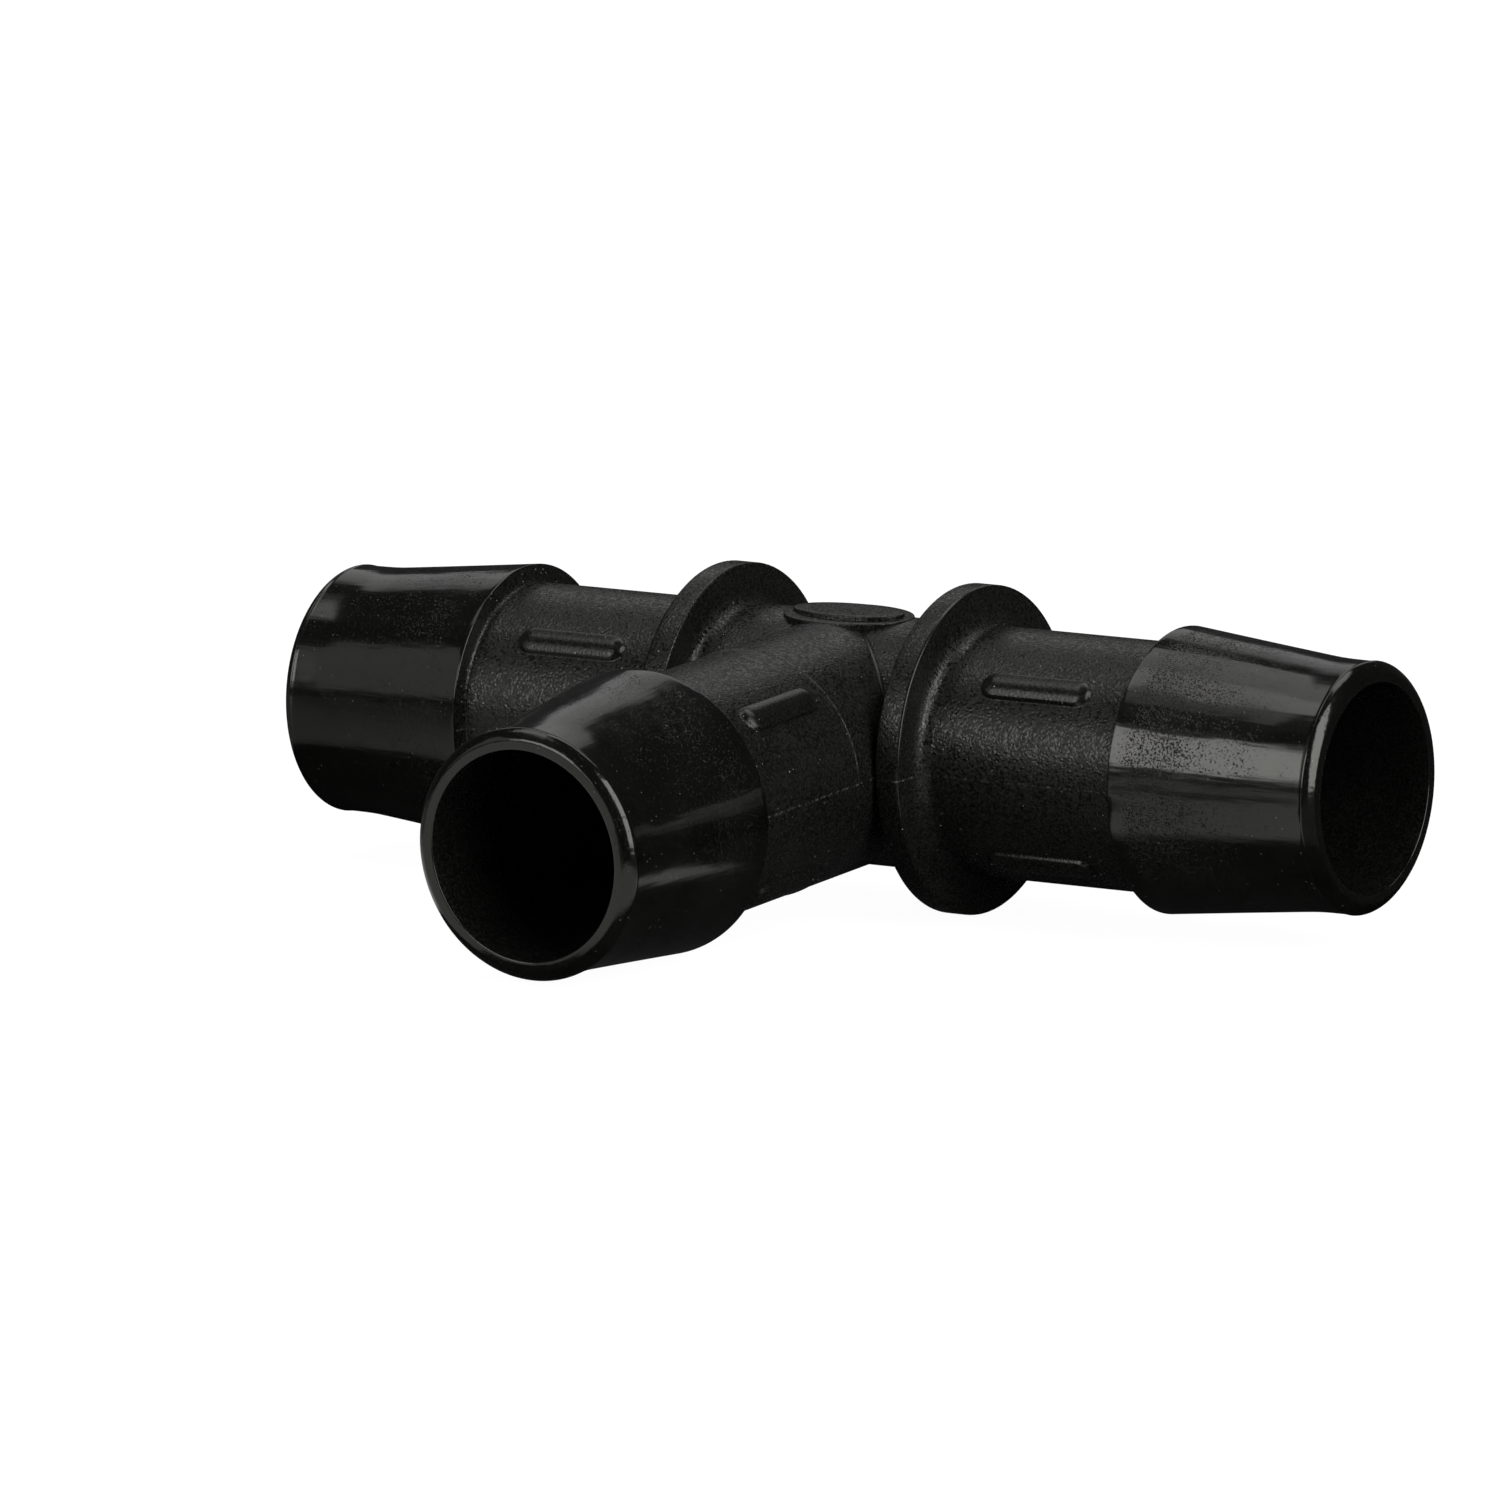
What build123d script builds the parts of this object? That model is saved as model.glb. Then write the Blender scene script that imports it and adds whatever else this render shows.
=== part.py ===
from build123d import *
import os

# One-piece moulded tee for rubber hose: two arms in line along X and a branch along -Y.
# Millimetres, Z up. The three bores meet at the origin.
# Mould halves part on the plane of the three axes, so the crown with the oval pad faces +Z.

# Arms. The core pin of the branch is a hair thinner than the one it beds on.
arm_length = 46.0
neck_radius = 9.5
wall = 1.5
core_bedding = 0.02

# Barb that holds the hose, measured back from the mouth
barb_length = 16.85
shoulder_height = 1.4

# Nose of the barb: flat end face, rounded lip, then a plain land before the cone
land_length = 3.7
lip_depth = 0.75
lip_inset = 0.86
lip_arc = 1.55

# Stop flanges on the two arms in line, each just clear of the wall of the branch
flange_gap = 0.3
flange_width = 2.05
flange_height = 3.05
flange_root = 1.3
flange_chamfer = 0.15

# Long raised pads on each neck, four round each arm on the diagonals
pad_share = 0.546
pad_shift = 0.25
pad_width = 2.2
pad_height = 0.33
pad_chamfer = 0.2
pad_angles = (45, 135, 225, 315)

# Stepped oval pad on the crown, its lower step just clear of the crown
oval_long = 5.42
oval_short = 3.71
oval_height = 0.07
oval_step_long = 4.76
oval_step_short = 2.33
oval_step_height = 0.33

# Places and radii worked out from the sizes above
bore_radius = neck_radius - wall
shoulder_start = arm_length - barb_length
shoulder_radius = neck_radius + shoulder_height
land_start = arm_length - land_length
flange_start = neck_radius + flange_gap
flange_end = flange_start + flange_width
flange_radius = neck_radius + flange_height
pad_middle = (flange_end + shoulder_start) / 2 + pad_shift
pad_length = pad_share * (shoulder_start - flange_end)
run_turns = (0, 180)
arm_turns = (0, 180, 270)


# Half section of an arm lying along X, turned later about its own axis.
# The roots of a flange are three-point curves, tangent to the neck and to the flange.
def arm_section(flanged):
    lip_start = (arm_length - lip_inset, neck_radius)
    lip_end = (arm_length, neck_radius - lip_depth)
    with BuildSketch() as section:
        with BuildLine():
            if flanged:
                root_1 = (flange_start - flange_root, neck_radius)
                root_2 = (flange_start, neck_radius + flange_root)
                root_3 = (flange_end, neck_radius + flange_root)
                root_4 = (flange_end + flange_root, neck_radius)
                Polyline((0, 0), (0, neck_radius), root_1)
                Bezier(root_1, (flange_start, neck_radius), root_2)
                Polyline(root_2, (flange_start, flange_radius), (flange_end, flange_radius), root_3)
                Bezier(root_3, (flange_end, neck_radius), root_4)
                Line(root_4, (shoulder_start, neck_radius))
            else:
                Polyline((0, 0), (0, neck_radius), (shoulder_start, neck_radius))
            Polyline(
                (shoulder_start, neck_radius),
                (shoulder_start, shoulder_radius),
                (land_start, neck_radius),
                lip_start,
            )
            RadiusArc(lip_start, lip_end, lip_arc)
            Polyline(lip_end, (arm_length, 0), (0, 0))
        make_face()
        if flanged:
            rim = section.vertices().group_by(Axis.Y)[-1]
            chamfer(rim, flange_chamfer)
    return section.sketch


# The bare arms, before the bores
with BuildPart() as branch:
    add(arm_section(flanged=False))
    revolve(axis=Axis.X)

with BuildPart() as run_arm:
    add(arm_section(flanged=True))
    revolve(axis=Axis.X)

# A raised pad, sunk in the neck wall as far as the bore
with BuildPart() as pad:
    with BuildSketch(Plane.XY.offset(bore_radius)):
        with Locations((pad_middle, 0)):
            SlotOverall(pad_length, pad_width)
    extrude(amount=wall + pad_height)
    chamfer(pad.faces().sort_by(Axis.Z)[-1].edges(), pad_chamfer)

with BuildPart() as oval_pad:
    with BuildSketch(Plane.XY.offset(bore_radius)):
        Ellipse(oval_long, oval_short)
    extrude(amount=wall + oval_height)
    with BuildSketch(Plane.XY.offset(neck_radius)):
        Ellipse(oval_step_long, oval_step_short)
    extrude(amount=oval_height + oval_step_height)

# Everything fused to one body, then bored through
with BuildPart() as tee_body:
    for turn in run_turns:
        add(run_arm.part.rotate(Axis.Z, turn))
    add(branch.part.rotate(Axis.Z, 270))
    add(oval_pad.part)
    for turn in arm_turns:
        for angle in pad_angles:
            add(pad.part.rotate(Axis.X, angle).rotate(Axis.Z, turn))
    with Locations(Rotation(0, 90, 0)):
        Cylinder(bore_radius, 2 * arm_length, mode=Mode.SUBTRACT)
    with Locations(Location((0, -arm_length / 2, 0), (90, 0, 0))):
        Cylinder(bore_radius - core_bedding, arm_length, mode=Mode.SUBTRACT)

tee_body.part.label = "tee_body"

os.makedirs("parts", exist_ok=True)
export_step(tee_body.part, "parts/tee_body.step")
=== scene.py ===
import math

import bmesh
import bpy
import numpy as np
from mathutils import Matrix, Vector


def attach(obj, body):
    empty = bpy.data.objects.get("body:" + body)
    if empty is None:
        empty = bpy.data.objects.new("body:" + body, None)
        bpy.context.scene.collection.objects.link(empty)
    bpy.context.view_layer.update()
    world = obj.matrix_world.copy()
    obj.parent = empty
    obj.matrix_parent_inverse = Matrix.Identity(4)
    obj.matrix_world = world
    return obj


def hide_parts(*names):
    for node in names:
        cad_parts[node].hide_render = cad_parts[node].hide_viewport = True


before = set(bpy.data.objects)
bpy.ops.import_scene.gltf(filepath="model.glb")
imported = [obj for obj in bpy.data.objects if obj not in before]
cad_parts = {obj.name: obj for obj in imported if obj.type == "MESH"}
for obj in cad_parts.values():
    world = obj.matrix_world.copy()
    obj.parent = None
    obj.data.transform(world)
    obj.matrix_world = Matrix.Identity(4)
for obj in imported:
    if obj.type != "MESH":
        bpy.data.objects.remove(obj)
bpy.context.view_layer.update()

scene = bpy.context.scene


# The moulding
# One injection-moulded body of black glass-filled nylon: two barbed arms in line with stop flanges,
# and a barbed branch square to them. The body and necks are spark-textured in the mould, the barbs
# are polished, and the bores are left by three smooth core pins that meet in the middle.

# Sizes in millimetres, as in the solid, with the roundings that the solid leaves out.
arm_length = 46.0
neck_radius = 9.5
bore_radius = 8.0
mouth_edge = 0.1
mouth_face_top = 8.74
barb_length = 16.85
shoulder_start = 29.15
shoulder_radius = 10.9
shoulder_root = 0.4
shoulder_edge = 0.1
flange_start = 9.8
flange_end = 11.85
flange_radius = 12.545
flange_face_top = 12.3
flange_root = 1.3
flange_edge = 0.2
pad_middle = 20.75
pad_length = 9.446
pad_width = 2.2
pad_top = 10.06
pad_crown = 1.6
pad_foot = 0.1
pad_wall = 0.24
pad_angles = (45, 135, 225, 315)
branch_body_end = 13.6
witness_ring = 14.25
witness_ring_height = 0.07
witness_ring_width = 0.09


def rounded(corner, before, after, radius, steps):
    """Points round a corner of a profile, on the circle of that radius which touches the lines from
    the corner towards the points before and after it. The circle's centre lies on the line that
    halves the corner, and the points are its first touching point turned evenly about the centre as
    far as the second."""
    corner, before, after = (np.array(p, float) for p in (corner, before, after))
    to_before = (before - corner) / np.linalg.norm(before - corner)
    to_after = (after - corner) / np.linalg.norm(after - corner)
    half = np.arccos(np.clip(to_before @ to_after, -1, 1)) / 2
    reach = radius / np.tan(half)
    halving = (to_before + to_after) / np.linalg.norm(to_before + to_after)
    centre = corner + halving * radius / np.sin(half)
    start = corner + to_before * reach - centre
    stop = corner + to_after * reach - centre
    turn = np.arctan2(start[0] * stop[1] - start[1] * stop[0], start @ stop)
    a = np.linspace(0, 1, steps)[:, None] * turn
    return centre + np.cos(a) * start + np.sin(a) * np.array([-start[1], start[0]])


def stretch(start, stop, steps):
    """Evenly spaced points on a straight stretch of a profile, without its two ends."""
    t = np.linspace(0, 1, steps + 2)[1:-1]
    return np.array(start) + t[:, None] * (np.array(stop) - np.array(start))


def barb_profile():
    """The outside of a barb from the neck's end to the bore, as (distance along the arm, radius):
    the rounded root of the shoulder first, and then its edge, cone, land, rolled lip, end face and
    bore edge. The cone runs through measured radii, joined by straight lines and smoothed by a
    bell-shaped average over 1.5 mm."""
    foot, top = (shoulder_start, neck_radius), (shoulder_start, shoulder_radius)
    root = rounded(foot, (0, neck_radius), top, shoulder_root, 6)
    edge = rounded(top, foot, (42, 9.52), shoulder_edge, 5)

    # Distances back from the mouth, and the radius measured at each.
    measured_at = np.array([0.0, 1.0, 2.0, 3.0, 3.6, 4.2, 5.2, 7.6, 11.4, barb_length])
    measured = np.array([9.5, 9.515, 9.52, 9.53, 9.55, 9.585, 9.68, 9.925, 10.32, shoulder_radius])
    fine = np.linspace(0, barb_length, 700)
    bell = np.hanning(61)
    padded = np.pad(np.interp(fine, measured_at, measured), 30, mode="reflect", reflect_type="odd")
    smooth = np.convolve(padded, bell / bell.sum(), "valid")
    cone_back = np.array([
        16.4, 15.2, 13.2, 11.4, 9.4, 7.6, 6.4, 5.6, 5.0,
        4.5, 4.0, 3.5, 3.0, 2.4, 1.8, 1.4, 1.2, 1.08,
    ])
    cone = np.column_stack((arm_length - cone_back, np.interp(cone_back, fine, smooth)))

    lip_back = np.array([1.0, 0.93, 0.86, 0.74, 0.6, 0.46, 0.32, 0.2, 0.1, 0.04, 0.0])
    lip_radius = np.array([
        9.525, 9.545, 9.57, 9.535, 9.46, 9.36, 9.22, 9.08, 8.94, 8.84, mouth_face_top,
    ])
    lip = np.column_stack((arm_length - lip_back, lip_radius))
    face = stretch((arm_length, mouth_face_top), (arm_length, bore_radius + 0.12), 3)
    inner = rounded((arm_length, bore_radius), (arm_length, 9), (40, bore_radius), mouth_edge, 4)
    return root, np.vstack((edge, cone, lip, face, inner))


def neck_rows(first, last):
    """Distances along a neck at which its rows lie: wide apart, and close together round the ends
    of the pads."""
    near = np.arange(-1.35, 1.36, 0.135)
    pad_start = pad_middle - pad_length / 2 + pad_width / 4
    pad_end = pad_middle + pad_length / 2 - pad_width / 4
    ends = np.concatenate((pad_start + near, pad_end + near))
    wide = np.arange(first, last, 0.9)
    wide = wide[(np.abs(wide[:, None] - ends[None]).min(1) > 0.5)]
    return np.sort(np.concatenate((wide, ends)))


def turns():
    """Angles round an arm, from the crown: 3 degrees apart, and close together at the sides of the
    four pads."""
    half_pad = np.concatenate(((0.8, 2.0, 3.2, 4.2, 5.2), np.linspace(5.7, 7.4, 10)))
    across_pad = np.concatenate((-half_pad[::-1], half_pad))
    pads = np.concatenate([angle + across_pad for angle in pad_angles])
    wide = np.arange(0, 360, 3.0)
    wide = wide[(np.abs(wide[:, None] - pads[None]).min(1) > 1.3)]
    quarters = np.array([0, 90, 180, 270.0])
    return np.radians(np.unique(np.concatenate((wide, pads, quarters))))


def pad_lift(along, turn, radius):
    """How far a point of the neck is lifted by the four pads. Each pad is an obround: its top falls
    away from its spine as the distance squared over twice the crown's radius, and its wall rises
    from the neck as a step smoothed at foot and edge, three times the share squared less twice its
    cube."""
    lift = np.zeros_like(radius)
    for angle in pad_angles:
        off_pad = np.angle(np.exp(1j * (turn - math.radians(angle))))
        near = np.abs(off_pad) < 0.3
        across = neck_radius * np.sin(np.where(near, off_pad, 0.3))
        past_end = np.maximum(np.abs(along - pad_middle) - (pad_length - pad_width) / 2, 0)
        from_spine = np.hypot(past_end, across)
        step = np.clip((pad_width / 2 + pad_foot - from_spine) / pad_wall, 0, 1)
        wall = step * step * (3 - 2 * step)
        top = (pad_top - from_spine ** 2 / (2 * pad_crown)) / np.cos(np.where(near, off_pad, 0))
        lift = np.maximum(lift, wall * (top - radius))
    return lift


def body_outline():
    """The outside of the run beside the branch: distances along the run, the radius at each, and
    the length walked to each. It is level from the middle, and then climbs the flange's inner root,
    a three-point curve of (1 - q) squared of its foot, 2 q (1 - q) of its corner and q squared of
    its top."""
    q = np.linspace(0, 1, 41)[:, None]
    foot = np.array((flange_start - flange_root, neck_radius))
    corner = np.array((flange_start, neck_radius))
    top = np.array((flange_start, neck_radius + flange_root))
    root = (1 - q) ** 2 * foot + 2 * q * (1 - q) * corner + q ** 2 * top
    outline = np.vstack(((0.0, neck_radius), root))
    walked = np.concatenate(([0], np.cumsum(np.linalg.norm(np.diff(outline, axis=0), axis=1))))
    return outline[:, 0], outline[:, 1], walked


def run_start(turn):
    """Rows of an arm of the run from its first row to the top of the flange's inner root, as
    distances along, radii and angles. On the far side the first row lies in the middle of the tee.
    Towards the branch it is the crease, at along = neck radius times sin turn, with the body's
    radius there, at the angle that puts it at the height neck radius times cos turn. The rows
    share out the walk up the root, and their angles ease from the crease's to the even ones."""
    out_along, out_radius, walked = body_outline()
    share = np.array([
        0, 0.02, 0.045, 0.09, 0.16, 0.26, 0.38, 0.5, 0.6, 0.69, 0.77, 0.84, 0.9, 0.95, 1.0,
    ])[:, None]
    side, height = np.sin(turn), neck_radius * np.cos(turn)
    to_branch = side > 1e-9
    crease_along = np.where(to_branch, neck_radius * np.maximum(side, 0), 0)
    crease_radius = np.interp(crease_along, out_along, out_radius)
    crease_side = np.sqrt(np.maximum(crease_radius ** 2 - height ** 2, 0))
    crease_turn = np.where(to_branch, np.arctan2(crease_side, height), turn)
    crease_walked = np.interp(crease_along, out_along, walked)
    here = crease_walked + share * (walked[-1] - crease_walked)
    along = np.interp(here, walked, out_along)
    radius = np.interp(here, walked, out_radius)
    return along, radius, turn + (crease_turn - turn) * (1 - share)


def run_neck():
    """The outside of an arm of the run from the flange's inner face to the neck's end: face,
    rounded edge, rim, rounded edge, face, root and plain neck."""
    face_foot = neck_radius + flange_root
    face_in = stretch((flange_start, face_foot), (flange_start, flange_face_top), 3)
    rim_in, rim_out = (flange_start, flange_radius), (flange_end, flange_radius)
    edge_in = rounded(rim_in, (flange_start, 9), rim_out, flange_edge, 6)
    flat_from, flat_to = flange_start + 0.22, flange_end - 0.22
    rim = stretch((flat_from, flange_radius), (flat_to, flange_radius), 2)
    edge_out = rounded(rim_out, rim_in, (flange_end, 9), flange_edge, 6)
    face_out = stretch((flange_end, flange_face_top), (flange_end, face_foot), 3)
    foot = (flange_end, neck_radius)
    root_out = rounded(foot, (flange_end, 12), (28, neck_radius), flange_root, 11)
    rows = neck_rows(flange_end + flange_root + 0.4, shoulder_start - 0.6)
    neck = np.column_stack((rows, np.full(len(rows), neck_radius)))
    return np.vstack((face_in, edge_in, rim, edge_out, face_out, root_out, neck))


def branch_start(turn):
    """Rows of the branch from the crease to the end of the body, as distances along, radii and
    angles. The crease lies where the run's own radius, which grows on the flange's root, reaches
    the height of the branch."""
    out_along, out_radius, _ = body_outline()
    share = np.array([0, 0.02, 0.045, 0.09, 0.16, 0.26, 0.38, 0.52, 0.68, 0.84, 1.0])[:, None]
    run_radius = np.interp(np.abs(np.sin(turn)) * neck_radius, out_along, out_radius)
    crease = np.sqrt(np.maximum(run_radius ** 2 - (neck_radius * np.cos(turn)) ** 2, 0))
    along = crease + share * (branch_body_end - crease)
    return along, np.full_like(along, neck_radius), turn + 0 * share


def branch_neck():
    """The outside of the branch from the body to the neck's end, with the thin ring that the
    mould's insert leaves: its height falls off as e to the minus square of the distance over the
    ring's width."""
    ring_rows = witness_ring + np.array([-0.28, -0.14, -0.06, -0.01, 0.04, 0.1, 0.18, 0.32])
    rows = np.concatenate((ring_rows, neck_rows(15.2, shoulder_start - 0.6)))
    ring = witness_ring_height * np.exp(-((rows - witness_ring) / witness_ring_width) ** 2)
    return np.column_stack((rows, neck_radius + ring))


def arm_surface(flanged):
    """An arm as a grid of rows along it and columns round it, in its own frame: along, side, up.
    Every point is at (along, radius sin turn, radius cos turn). The rows run from the crease out
    over the neck and the barb, round the lip and back down the bore to the crease inside, at along
    = bore radius times sin turn. The first rows of the barb and of the bore come with it."""
    turn = turns()
    side = np.sin(turn)
    barb_root, barb = barb_profile()
    start_along, start_radius, start_turn = run_start(turn) if flanged else branch_start(turn)
    profile = np.vstack((run_neck() if flanged else branch_neck(), barb_root, barb))
    outside = np.broadcast_to(profile[:, :1], (len(profile), len(turn)))
    outside_radius = np.broadcast_to(profile[:, 1:], outside.shape)

    bore_end = bore_radius * (np.maximum(side, 0) if flanged else np.abs(side))
    bore_share = np.array([0.03, 0.1, 0.25, 0.45, 0.7, 1.0])[:, None]
    bore_along = (arm_length - mouth_edge) + bore_share * (bore_end - arm_length + mouth_edge)

    along = np.vstack((start_along, outside, bore_along))
    radius = np.vstack((start_radius, outside_radius, np.full_like(bore_along, bore_radius)))
    plain_turn = np.broadcast_to(turn, (len(profile) + len(bore_share), len(turn)))
    turn = np.vstack((start_turn, plain_turn))
    pads_begin, pads_end, outside_bore = 14.6, 27, 9
    on_neck = (along > pads_begin) & (along < pads_end) & (radius > outside_bore)
    radius = radius + np.where(on_neck, pad_lift(along, turn, radius), 0)
    points = np.stack((along, radius * np.sin(turn), radius * np.cos(turn)), 2)
    first_barb = len(start_along) + len(profile) - len(barb)
    first_bore = len(start_along) + len(profile) - 2
    return points, first_barb, first_bore


def grid_faces(rows, columns, first):
    """The four-sided faces of a grid of points numbered row by row, joined round from the last
    column to the first."""
    row, column = np.meshgrid(np.arange(rows - 1), np.arange(columns), indexing="ij")
    here = row * columns + column
    beside = row * columns + (column + 1) % columns
    faces = np.stack((here, beside, beside + columns, here + columns), 2)
    return faces.reshape(-1, 4) + first


def oval_edge(half_length, half_width, top, edge):
    """Five rings of an ellipse round the upper edge of an oval step, a quarter circle of that
    radius."""
    quarter = np.linspace(0, math.pi / 2, 5)
    out, up = edge * np.cos(quarter), edge * np.sin(quarter)
    return np.column_stack((half_length - edge + out, half_width - edge + out, top - edge + up))


def oval_surface():
    """The stepped oval pad on the crown, as rings of an ellipse from the middle of its sunk foot
    outwards, up over two rounded steps and in to the middle of its top. Each ring is (half length,
    half width, height), and its points are at (half length cos turn, half width sin turn,
    height)."""
    low_length, low_width, low_top, low_edge = 5.42, 3.71, 9.57, 0.12
    high_length, high_width, high_top, high_edge = 4.76, 2.33, 9.9, 0.14
    sunk, pole = 8.2, 0.001
    rings = np.array([
        (pole, pole, sunk), (low_length, low_width, sunk), (low_length, low_width, 9.0),
        *oval_edge(low_length, low_width, low_top, low_edge),
        (5.0, 2.8, low_top), (4.88, 2.45, low_top), (4.79, 2.36, 9.6),
        (high_length, high_width, 9.68),
        *oval_edge(high_length, high_width, high_top, high_edge),
        (3.8, 1.6, high_top), (2.0, 0.8, high_top), (pole, pole, high_top),
    ])
    turn = np.linspace(0, 2 * math.pi, 97)[:-1]
    x = rings[:, :1] * np.cos(turn)
    y = rings[:, 1:2] * np.sin(turn)
    z = np.broadcast_to(rings[:, 2:], x.shape)
    return np.stack((x, y, z), 2)


def tee_mesh():
    """The whole moulding in one mesh: the three arm grids turned to their places and welded along
    the creases, and the oval pad sunk in the crown. Face material 0 is the textured body, 1 the
    polished barbs, 2 the bores. Each arm's axes are the directions that its along, side and up
    take. Where they are a turn and not a mirror image, the faces are turned over, so that all of
    them point outwards."""
    right_arm = np.array([[1, 0, 0], [0, -1, 0], [0, 0, 1]])
    left_arm = np.array([[-1, 0, 0], [0, -1, 0], [0, 0, 1]])
    branch = np.array([[0, -1, 0], [1, 0, 0], [0, 0, 1]])
    points, faces, kinds, count = [], [], [], 0
    for flanged, axes in ((True, right_arm), (True, left_arm), (False, branch)):
        grid, first_barb, first_bore = arm_surface(flanged)
        rows, columns = grid.shape[:2]
        quads = grid_faces(rows, columns, count)
        if np.linalg.det(axes) > 0:
            quads = quads[:, ::-1]
        row = np.repeat(np.arange(rows - 1), columns)
        kinds.append(np.where(row >= first_bore, 2, np.where(row >= first_barb, 1, 0)))
        points.append(grid.reshape(-1, 3) @ axes)
        faces.append(quads)
        count += rows * columns
    oval = oval_surface()
    quads = grid_faces(oval.shape[0], oval.shape[1], count)
    kinds.append(np.zeros(len(quads), int))
    points.append(oval.reshape(-1, 3))
    faces.append(quads)
    made = bpy.data.meshes.new("tee_moulding")
    made.from_pydata((np.vstack(points) * 0.001).tolist(), [], np.vstack(faces).tolist())
    made.polygons.foreach_set("material_index", np.concatenate(kinds).astype(np.int32))
    return made


mesh = tee_mesh()
weld = bmesh.new()
weld.from_mesh(mesh)
bmesh.ops.remove_doubles(weld, verts=weld.verts, dist=2e-6)
bmesh.ops.dissolve_degenerate(weld, edges=weld.edges, dist=1e-7)
weld.to_mesh(mesh)
weld.free()

# Sharp edges stay sharp, except along the outer crease between branch and run, which has a tiny
# fillet.
mesh.shade_smooth()
mesh.set_sharp_from_angle(angle=math.radians(50))
spots = np.empty(len(mesh.vertices) * 3)
mesh.vertices.foreach_get("co", spots)
x, y, z = spots.reshape(-1, 3).T
on_crease = (np.abs(np.abs(x) - np.abs(y)) < 2e-5) & (np.hypot(y, z) > 0.0092)
ends = np.empty(len(mesh.edges) * 2, np.int32)
mesh.edges.foreach_get("vertices", ends)
along_crease = on_crease[ends.reshape(-1, 2)].all(1)
sharp = np.zeros(len(mesh.edges), bool)
sharp_edges = mesh.attributes["sharp_edge"].data
sharp_edges.foreach_get("value", sharp)
sharp_edges.foreach_set("value", sharp & ~along_crease)
tee = bpy.data.objects.new("tee_moulding", mesh)
scene.collection.objects.link(tee)


def add_node(tree, kind, **settings):
    """A node of that kind in the tree. A setting named after one of its properties is set on the
    node, and the rest go to the input socket of that name or number, as a value or as another
    node's output to link."""
    made = tree.nodes.new("ShaderNode" + kind)
    for key, value in settings.items():
        if hasattr(made, key):
            setattr(made, key, value)
            continue
        name = int(key[1:]) if key[1:].isdigit() else key.replace("_", " ")
        socket = made.inputs[name]
        if isinstance(value, bpy.types.NodeSocket):
            tree.links.new(value, socket)
        else:
            socket.default_value = value
    return made


def work(tree, operation, *values, **settings):
    """The result of a Math node worked on those numbers or other nodes' outputs."""
    inputs = {f"_{number}": value for number, value in enumerate(values)}
    return add_node(tree, "Math", operation=operation, **inputs, **settings).outputs[0]


def slope(tree, value, start, stop, low=0.0, high=1.0):
    """A value turned into low at start and high at stop, straight between them and level past
    them."""
    made = add_node(
        tree, "MapRange", Value=value, From_Min=start, From_Max=stop, To_Min=low, To_Max=high)
    return made.outputs[0]


def noise(tree, where, scale, detail, roughness=0.5):
    """Soft random spots, that many to a unit of the place."""
    made = add_node(tree, "TexNoise", Vector=where, Scale=scale, Detail=detail, Roughness=roughness)
    return made.outputs["Fac"]


def in_millimetres(tree, place):
    """A place in metres, in millimetres."""
    return add_node(tree, "VectorMath", operation="SCALE", Vector=place, Scale=1000.0).outputs[0]


def length_of(tree, **sides):
    """The length of the vector with those sides."""
    vector = add_node(tree, "CombineXYZ", **sides).outputs[0]
    return add_node(tree, "VectorMath", operation="LENGTH", Vector=vector).outputs["Value"]


def new_group(name, takes, gives):
    """An empty shader node group with its ends. Its inputs are named with their first values, None
    for a place, and its outputs with their kinds."""
    group = bpy.data.node_groups.new(name, "ShaderNodeTree")
    for label, first in takes.items():
        kind = "NodeSocketVector" if first is None else "NodeSocketFloat"
        socket = group.interface.new_socket(label, in_out="INPUT", socket_type=kind)
        if first is not None:
            socket.default_value = first
    for label, kind in gives.items():
        group.interface.new_socket(label, in_out="OUTPUT", socket_type="NodeSocket" + kind)
    taken = group.nodes.new("NodeGroupInput").outputs
    given = group.nodes.new("NodeGroupOutput").inputs
    return group, taken, given


def spark_texture():
    """The fine sand-like skin that a spark-eroded mould leaves: rounded grains a fifth of a
    millimetre across over a coarser roll. Its roughness wanders from patch to patch and jumps from
    grain to grain, so that single grains glint."""
    group, takes, gives = new_group(
        "spark_texture", {"Place": None, "Grain": 1.0}, {"Height": "Float", "Roughness": "Float"})
    mm = in_millimetres(group, takes["Place"])
    fine = work(group, "MULTIPLY", noise(group, mm, 4.9, 1.0), takes["Grain"])
    grains = add_node(
        group, "TexVoronoi", Vector=mm, Scale=4.2, feature="SMOOTH_F1", Smoothness=0.2)
    grainy = work(group, "MULTIPLY_ADD", grains.outputs["Distance"], -0.3, fine)
    height = work(group, "MULTIPLY_ADD", noise(group, mm, 1.6, 2.0), 0.2, grainy)
    patches = slope(group, noise(group, mm, 0.35, 3.0), 0.3, 0.7, 0.24, 0.3)
    cells = add_node(group, "TexVoronoi", Vector=mm, Scale=5.6)
    chance = add_node(group, "SeparateColor", Color=cells.outputs["Color"]).outputs[0]
    glint = slope(group, chance, 0.1, 0.9, -0.17, 0.3)
    group.links.new(height, gives["Height"])
    group.links.new(work(group, "ADD", patches, glint), gives["Roughness"])
    return group


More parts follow.
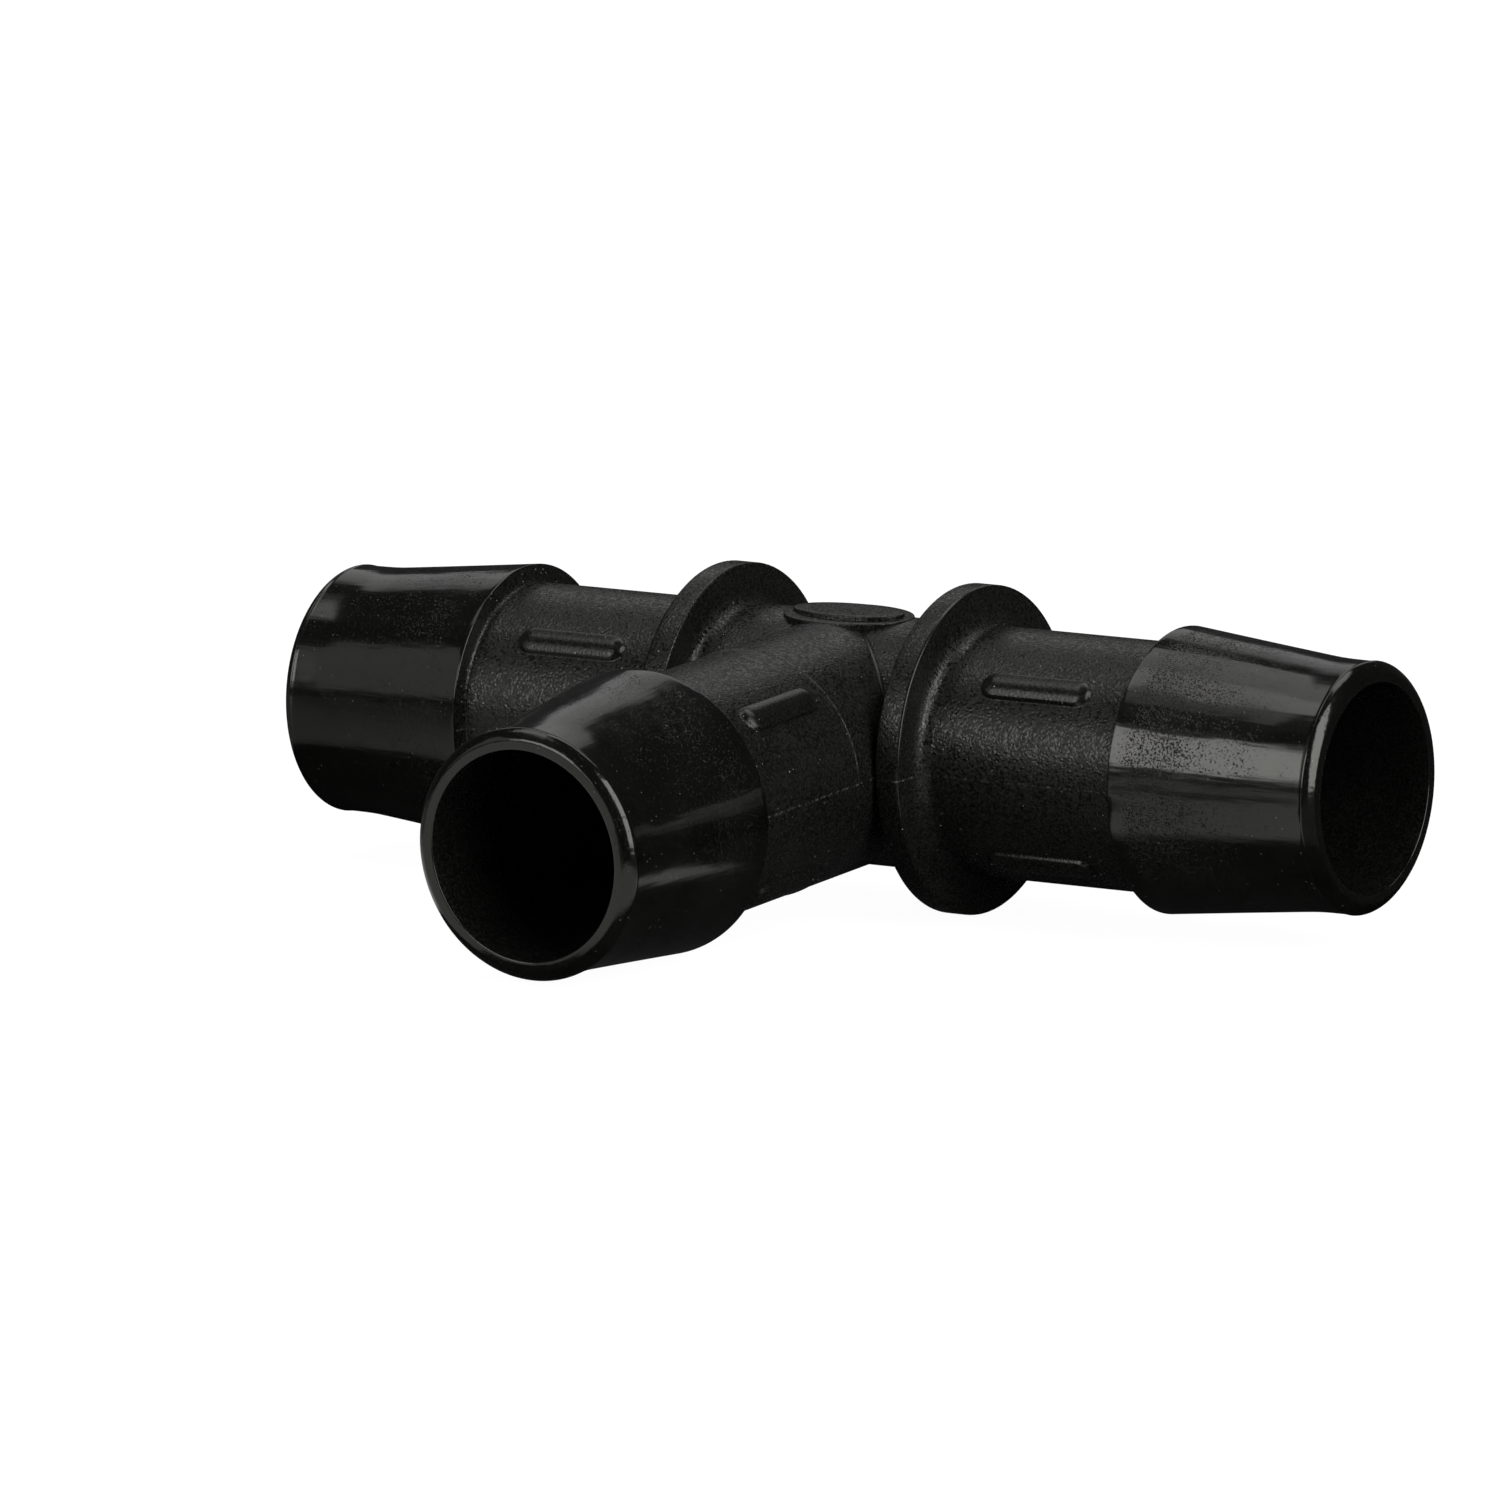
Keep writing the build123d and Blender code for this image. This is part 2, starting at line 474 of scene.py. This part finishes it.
def polish_marks():
    """The polished barbs: small pits left by fibres, thinning out where Worn falls to 0, a slow
    wave in the surface, faint strokes of the polishing along the arm, and clouds in the gloss.
    Drawn is the place in millimetres, shortened along the arm, so that spots on it come out as
    strokes."""
    group, takes, gives = new_group(
        "polish_marks", {"Place": None, "Drawn": None, "Worn": 1.0},
        {"Height": "Float", "Roughness": "Float"})
    mm = in_millimetres(group, takes["Place"])
    clumps = work(group, "MULTIPLY_ADD", noise(group, mm, 0.5, 2.0), -0.16, 0.41)
    limit = work(group, "MULTIPLY_ADD", takes["Worn"], 0.15, clumps)
    deep = work(group, "SUBTRACT", limit, noise(group, mm, 6.4, 2.5, 0.6), use_clamp=True)
    pits = work(group, "MULTIPLY", deep, -15.0)
    wave = work(group, "MULTIPLY_ADD", noise(group, mm, 0.16, 1.0), 7.0, pits)
    height = work(group, "MULTIPLY_ADD", noise(group, takes["Drawn"], 0.85, 2.5, 0.55), 1.7, wave)
    clouds = slope(group, noise(group, mm, 0.7, 4.0), 0.3, 0.75, 0.11, 0.17)
    group.links.new(height, gives["Height"])
    group.links.new(clouds, gives["Roughness"])
    return group


def nylon_colour():
    """The black of the nylon, a trace lighter in patches and greyer where its grains are rubbed,
    with sparse pale specks of dust and fibre, and a broken pale line on the plane where the mould
    halves part: a painted highlight along that real ridge. Split is that line alone, to raise it as
    well."""
    group, takes, gives = new_group(
        "nylon_colour", {"Place": None, "Dust": 1.0, "Line": 0.0, "Grey": 0.0},
        {"Color": "Color", "Split": "Float"})
    mm = in_millimetres(group, takes["Place"])
    black = add_node(group, "ValToRGB", Fac=noise(group, mm, 0.25, 4.0))
    deep, light = black.color_ramp.elements
    deep.position, deep.color = 0.3, (0.0022, 0.0022, 0.002, 1)
    light.position, light.color = 0.75, (0.0046, 0.0046, 0.0042, 1)

    cells = add_node(group, "TexVoronoi", Vector=mm, Scale=2.3)
    chance = add_node(group, "SeparateColor", Color=cells.outputs["Color"]).outputs[0]
    dot = slope(group, cells.outputs["Distance"], 0.15, 0.08)
    speck = work(group, "MULTIPLY", dot, work(group, "GREATER_THAN", chance, 0.9))
    dust = work(group, "MULTIPLY", speck, takes["Dust"])

    # The parting line: the ridge is real, and its paleness is a painted highlight.
    height = add_node(group, "SeparateXYZ", Vector=mm).outputs["Z"]
    line = slope(group, work(group, "ABSOLUTE", height), 0.11, 0.03)
    split = work(group, "MULTIPLY", line, slope(group, noise(group, mm, 2.1, 3.0, 0.7), 0.5, 0.66))
    dust_and_line_highlight = work(group, "MAXIMUM", dust, work(group, "MULTIPLY", split, takes["Line"]))

    rubbed = slope(group, noise(group, mm, 5.0, 1.0), 0.38, 0.68)
    grey = work(group, "MULTIPLY", rubbed, takes["Grey"])
    # The pale grey serves both the real dust specks and the parting line's painted highlight.
    rubbed_grey, dust_and_highlight_grey = (0.024, 0.024, 0.0225, 1), (0.3, 0.3, 0.28, 1)
    greyed = add_node(group, "MixRGB", Fac=grey, Color1=black.outputs["Color"], Color2=rubbed_grey)
    specked = add_node(group, "MixRGB", Fac=dust_and_line_highlight, Color1=greyed.outputs[0], Color2=dust_and_highlight_grey)
    group.links.new(specked.outputs[0], gives["Color"])
    group.links.new(split, gives["Split"])
    return group


spark = spark_texture()
marks = polish_marks()
colour = nylon_colour()


def nylon(name, dust, grey):
    """A new nylon material with its colour in place: the material, its shader, where it reads its
    place from, and its colour."""
    material = bpy.data.materials.new(name)
    material.use_nodes = True
    tree = material.node_tree
    shader = tree.nodes["Principled BSDF"]
    shader.inputs["IOR"].default_value = 1.5
    shader.inputs["Specular Tint"].default_value = (1.0, 0.995, 0.94, 1)
    place = add_node(tree, "TexCoord").outputs["Object"]
    tone = add_node(tree, "Group", node_tree=colour, Place=place, Dust=dust, Grey=grey)
    tree.links.new(tone.outputs["Color"], shader.inputs["Base Color"])
    return material, shader, place, tone


def finish_with(tree, shader, height, rough, depth):
    """Raises the surface by a height, in steps of a depth in metres, and sets its roughness."""
    bump = add_node(tree, "Bump", Height=height, Distance=depth, Strength=1.0)
    tree.links.new(bump.outputs["Normal"], shader.inputs["Normal"])
    tree.links.new(rough, shader.inputs["Roughness"])


def smooth_places(tree, x, y, z):
    """How smooth the mould leaves a spot of the skin, from 0 to 1: the outer edge of each flange;
    the crease between branch and run, on the plane of 45 degrees as far as the flange; and, at
    three quarters, the long pads, which stand out from the necks between flange and shoulder."""
    along_run = work(tree, "ABSOLUTE", x)
    along_branch = work(tree, "MULTIPLY", y, -1.0)
    from_run = length_of(tree, Y=y, Z=z)
    from_branch = length_of(tree, X=x, Z=z)

    at_rim = slope(tree, from_run, 0.01225, 0.01235)
    at_edge = work(tree, "MULTIPLY", at_rim, slope(tree, along_run, 0.0116, 0.0117))

    off_plane = work(tree, "ABSOLUTE", work(tree, "SUBTRACT", along_run, along_branch))
    in_plane = slope(tree, off_plane, 0.00028, 0.00016)
    at_crease = work(tree, "MULTIPLY", in_plane, slope(tree, along_run, 0.0096, 0.0094))

    off_run = slope(tree, from_run, 0.00951, 0.00956, 0.0, 0.75)
    on_run_pad = work(tree, "MULTIPLY", off_run, slope(tree, along_run, 0.0148, 0.015))
    off_branch = slope(tree, from_branch, 0.00951, 0.00956, 0.0, 0.75)
    on_branch_pad = work(tree, "MULTIPLY", off_branch, slope(tree, along_branch, 0.0148, 0.015))
    proud = work(tree, "MAXIMUM", on_run_pad, on_branch_pad)
    along_arm = work(tree, "MAXIMUM", along_run, along_branch)
    on_pad = work(tree, "MULTIPLY", proud, slope(tree, along_arm, 0.0283, 0.028))
    return work(tree, "MAXIMUM", work(tree, "MAXIMUM", at_edge, at_crease), on_pad)


def textured_nylon():
    """The spark-textured skin of the body, flanges and necks. The painted highlight on the parting
    line is strongest on the branch."""
    material, shader, place, tone = nylon("textured_nylon", dust=1.0, grey=0.35)
    shader.inputs["Specular IOR Level"].default_value = 0.34
    tree = material.node_tree
    spot = add_node(tree, "SeparateXYZ", Vector=place).outputs
    # Painted highlight on the parting line, stronger on the branch.
    tree.links.new(slope(tree, spot["Y"], -0.009, -0.011, 0.12, 0.4), tone.inputs["Line"])
    skin = add_node(tree, "Group", node_tree=spark, Place=place, Grain=1.0).outputs
    raised = work(tree, "MULTIPLY_ADD", tone.outputs["Split"], 0.45, skin["Height"])

    # Where it is smooth, little of the texture is left, and the roughness goes over to 0.22.
    smooth = smooth_places(tree, spot["X"], spot["Y"], spot["Z"])
    height = work(tree, "MULTIPLY", raised, work(tree, "MULTIPLY_ADD", smooth, -0.85, 1.0))
    rough_skin = work(tree, "MULTIPLY", skin["Roughness"], work(tree, "SUBTRACT", 1.0, smooth))
    rough = work(tree, "MULTIPLY_ADD", smooth, 0.22, rough_skin)
    finish_with(tree, shader, height, rough, depth=0.00004)
    return material


def polished_nylon():
    """The polished barbs. The pits lie between shoulder and nose, most of them on the right arm.
    The strokes are drawn out along each arm to fourteen times their width."""
    material, shader, place, _ = nylon("polished_nylon", dust=0.35, grey=0.0)
    tree = material.node_tree
    spot = add_node(tree, "SeparateXYZ", Vector=place).outputs
    along_run = work(tree, "ABSOLUTE", spot["X"])
    along_branch = work(tree, "MULTIPLY", spot["Y"], -1.0)
    along_arm = work(tree, "MAXIMUM", along_run, along_branch)
    past_shoulder = slope(tree, along_arm, 0.0297, 0.0308)
    between = work(tree, "MULTIPLY", past_shoulder, slope(tree, along_arm, 0.043, 0.034))
    worn = work(tree, "MULTIPLY", between, slope(tree, spot["X"], 0.012, 0.02, 0.45, 1.0))

    run_scale = slope(tree, along_run, 0.02, 0.025, 1000.0, 70.0)
    branch_scale = slope(tree, along_branch, 0.02, 0.025, 1000.0, 70.0)
    drawn = add_node(
        tree, "CombineXYZ",
        X=work(tree, "MULTIPLY", spot["X"], run_scale),
        Y=work(tree, "MULTIPLY", spot["Y"], branch_scale),
        Z=work(tree, "MULTIPLY", spot["Z"], 1000.0)).outputs[0]
    polish = add_node(
        tree, "Group", node_tree=marks, Place=place, Drawn=drawn, Worn=worn).outputs
    finish_with(tree, shader, polish["Height"], polish["Roughness"], depth=0.00002)
    return material


def drawn_bore():
    """The bores, drawn smooth by the core pins, with a trace of the skin's grain."""
    material, shader, place, _ = nylon("drawn_bore", dust=0.05, grey=0.15)
    shader.inputs["Specular IOR Level"].default_value = 0.3
    tree = material.node_tree
    skin = add_node(tree, "Group", node_tree=spark, Place=place, Grain=1.0).outputs
    finish_with(tree, shader, skin["Height"], skin["Roughness"], depth=0.00001)
    return material


for finish in (textured_nylon(), polished_nylon(), drawn_bore()):
    mesh.materials.append(finish)
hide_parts("tee_body")
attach(tee, "root")


# The table
# A wide matt white board. The tee lies on it on the rims of its two flanges and on the barb of its
# branch, so the board is turned by the small angle between them, and a hairline clear of the rims.

# Sizes in millimetres.
rim_in_solid = 12.55
board_gap = 0.01
board_half_width = 4000.0
rest_angle = math.atan2(rim_in_solid - shoulder_radius, shoulder_start)
board_drop = (rim_in_solid + board_gap) / 1000 / math.cos(rest_angle)
corners = np.array([(-1, -1), (1, -1), (1, 1), (-1, 1)]) * board_half_width / 1000
heights = -board_drop - corners[:, 1] * math.tan(rest_angle)
floor_mesh = bpy.data.meshes.new("table")
floor_mesh.from_pydata(np.column_stack((corners, heights)).tolist(), [], [(0, 1, 2, 3)])
floor = bpy.data.objects.new("table", floor_mesh)
scene.collection.objects.link(floor)


def painted_board_reflection(tree):
    """The board's painted reflection: how bright it glows in reflections, by its place, unlit by
    the lamps. A painted shadow of the tee keeps it dark as far as some 20 mm from the run or from
    the branch, and past that painted light brightens it towards the right and the front. Painted
    shade keeps it dim behind the run, past the mouth of the right arm, and far out in front of the
    branch."""
    mm = in_millimetres(tree, add_node(tree, "TexCoord").outputs["Object"])
    spot = add_node(tree, "SeparateXYZ", Vector=mm).outputs
    x, y = spot["X"], spot["Y"]

    across = work(tree, "ABSOLUTE", x)
    past_mouth = work(tree, "MAXIMUM", work(tree, "SUBTRACT", across, arm_length), 0.0)
    branch_shade_end, far_off = -36.0, 99.0
    past_branch = work(tree, "MAXIMUM", work(tree, "SUBTRACT", branch_shade_end, y), 0.0)
    from_run = length_of(tree, X=past_mouth, Y=y)
    behind = work(tree, "GREATER_THAN", y, 0.0)
    beside = length_of(tree, X=x, Y=past_branch)
    from_branch = work(tree, "MULTIPLY_ADD", behind, far_off, beside)
    away = work(tree, "MINIMUM", from_run, from_branch)
    # Painted shadow of the tee: dark near the run and the branch, lit from about 20 mm out.
    clear = slope(tree, away, 18.5, 21.5, 0.03, 1.0)

    slant = work(tree, "MULTIPLY_ADD", y, -0.5, x)
    level = work(tree, "MULTIPLY", clear, slope(tree, slant, -60.0, 5.0, 0.15, 0.7))
    level = work(tree, "MULTIPLY", level, slope(tree, y, -5.0, 5.0, 1.0, 0.2))
    level = work(tree, "MULTIPLY", level, slope(tree, x, 38.0, 50.0, 1.0, 0.15))
    # Painted shade far out in front of the branch.
    far_front = work(tree, "MULTIPLY", slope(tree, y, -76.0, -84.0), slope(tree, x, -16.0, -10.0))
    return work(tree, "MULTIPLY", level, work(tree, "MULTIPLY_ADD", far_front, -0.85, 1.0))


def white_board():
    """Matt white, most of it turned to plain white for the camera, so that it is as white as the
    background and keeps the tee's faint shadow. In reflections it is not lit by the lamps but glows
    with the painted light and painted shadow given by the function above."""
    material = bpy.data.materials.new("white_board")
    material.use_nodes = True
    tree = material.node_tree
    tree.nodes.clear()
    path = add_node(tree, "LightPath").outputs
    board = add_node(tree, "BsdfDiffuse", Color=(0.82, 0.82, 0.82, 1))
    glow = add_node(tree, "Emission", Strength=1.13)
    seen = work(tree, "MULTIPLY", path["Is Camera Ray"], 0.86)
    plain = add_node(tree, "MixShader", _0=seen, _1=board.outputs[0], _2=glow.outputs[0])
    # In reflections the board is a painted reflection, an emission of painted light and shade.
    painted_reflection = add_node(tree, "Emission", Strength=painted_board_reflection(tree))
    through = work(tree, "MAXIMUM", path["Is Glossy Ray"], path["Is Transmission Ray"])
    whole = add_node(tree, "MixShader", _0=through, _1=plain.outputs[0], _2=painted_reflection.outputs[0])
    add_node(tree, "OutputMaterial", Surface=whole.outputs[0])
    return material


floor_mesh.materials.append(white_board())


# The room
# A white studio round the table. The camera sees it at full white and reflections as a faint
# trace, and the rest of the light takes a little from it, so that the shadows aren't quite black.
world = bpy.data.worlds.new("room")
scene.world = world
world.use_nodes = True
room = world.node_tree
room.nodes.clear()
ray = add_node(room, "LightPath").outputs
dim = add_node(room, "Background", Color=(1, 1, 1, 1), Strength=0.02)
bright = add_node(room, "Background", Color=(1, 1, 1, 1), Strength=1.0)
in_gloss = work(room, "MAXIMUM", ray["Is Glossy Ray"], ray["Is Transmission Ray"])
shown = work(room, "MAXIMUM", work(room, "MULTIPLY", in_gloss, 0.008), ray["Is Camera Ray"])
walls = add_node(room, "MixShader", _0=shown, _1=dim.outputs[0], _2=bright.outputs[0])
add_node(room, "OutputWorld", Surface=walls.outputs[0])


# The lights
# Soft boxes on stands round the table, each placed where the polished barbs mirror it. The key
# stands at the front left with its wing beside it, and the side light at the right. The back panel
# stands behind the tee, and the others hang over it.
def softbox(name, azimuth, elevation, wide, high, radiance, distance=1.5):
    """A soft light seen from the object at that azimuth and elevation, that many degrees wide and
    high. Its power is the radiance times pi times its area."""
    a, e = math.radians(azimuth), math.radians(elevation)
    towards = Vector((math.sin(a) * math.cos(e), -math.cos(a) * math.cos(e), math.sin(e)))
    lamp = bpy.data.lights.new(name, "AREA")
    lamp.shape = "RECTANGLE"
    lamp.size = 2 * distance * math.tan(math.radians(wide / 2))
    lamp.size_y = 2 * distance * math.tan(math.radians(high / 2))
    lamp.energy = radiance * math.pi * lamp.size * lamp.size_y
    box = bpy.data.objects.new(name, lamp)
    box.location = towards * distance
    box.rotation_euler = (-towards).to_track_quat("-Z", "Y").to_euler()
    scene.collection.objects.link(box)


softbox("key", azimuth=-20, elevation=25, wide=28, high=28, radiance=3.8)
softbox("key_wing", azimuth=-52, elevation=22, wide=28, high=30, radiance=0.5)
softbox("back_panel", azimuth=-147, elevation=30, wide=42, high=22, radiance=0.6)
softbox("overhead", azimuth=-108, elevation=66, wide=40, high=22, radiance=1.15)
softbox("overhead_front", azimuth=-64, elevation=67, wide=28, high=16, radiance=0.7)
softbox("upper_wing", azimuth=-36, elevation=54, wide=26, high=12, radiance=0.08)
softbox("table_light", azimuth=172, elevation=66, wide=36, high=26, radiance=2.0)
softbox("side_light", azimuth=76, elevation=28, wide=34, high=56, radiance=4.4)


# The camera
# A long lens, as the photograph was taken with, 1.3 m away, to the right and a little above, and
# turned a little about its own axis. The angles and the aim are fitted to the outlines of the
# mouths, shoulders and flanges.
view_azimuth = math.radians(32.757)
view_elevation = math.radians(12.014)
view_roll = math.radians(-1.874)
eye_distance = 1.316367
aim_right = 0.007817
aim_up = 0.000994
back = Vector((
    math.sin(view_azimuth) * math.cos(view_elevation),
    -math.cos(view_azimuth) * math.cos(view_elevation),
    math.sin(view_elevation),
))
level_right = Vector((math.cos(view_azimuth), math.sin(view_azimuth), 0))
level_up = back.cross(level_right)
right = level_right * math.cos(view_roll) + level_up * math.sin(view_roll)
up = level_up * math.cos(view_roll) - level_right * math.sin(view_roll)
eye = back * eye_distance - right * aim_right - up * aim_up
lens = bpy.data.cameras.new("camera")
lens.sensor_width = 36
lens.lens = 415.746
lens.clip_start = 0.05
lens.clip_end = 50
camera = bpy.data.objects.new("camera", lens)
camera.matrix_world = Matrix.Translation(eye) @ Matrix((right, up, back)).transposed().to_4x4()
scene.collection.objects.link(camera)
scene.camera = camera

scene.view_settings.view_transform = "Standard"
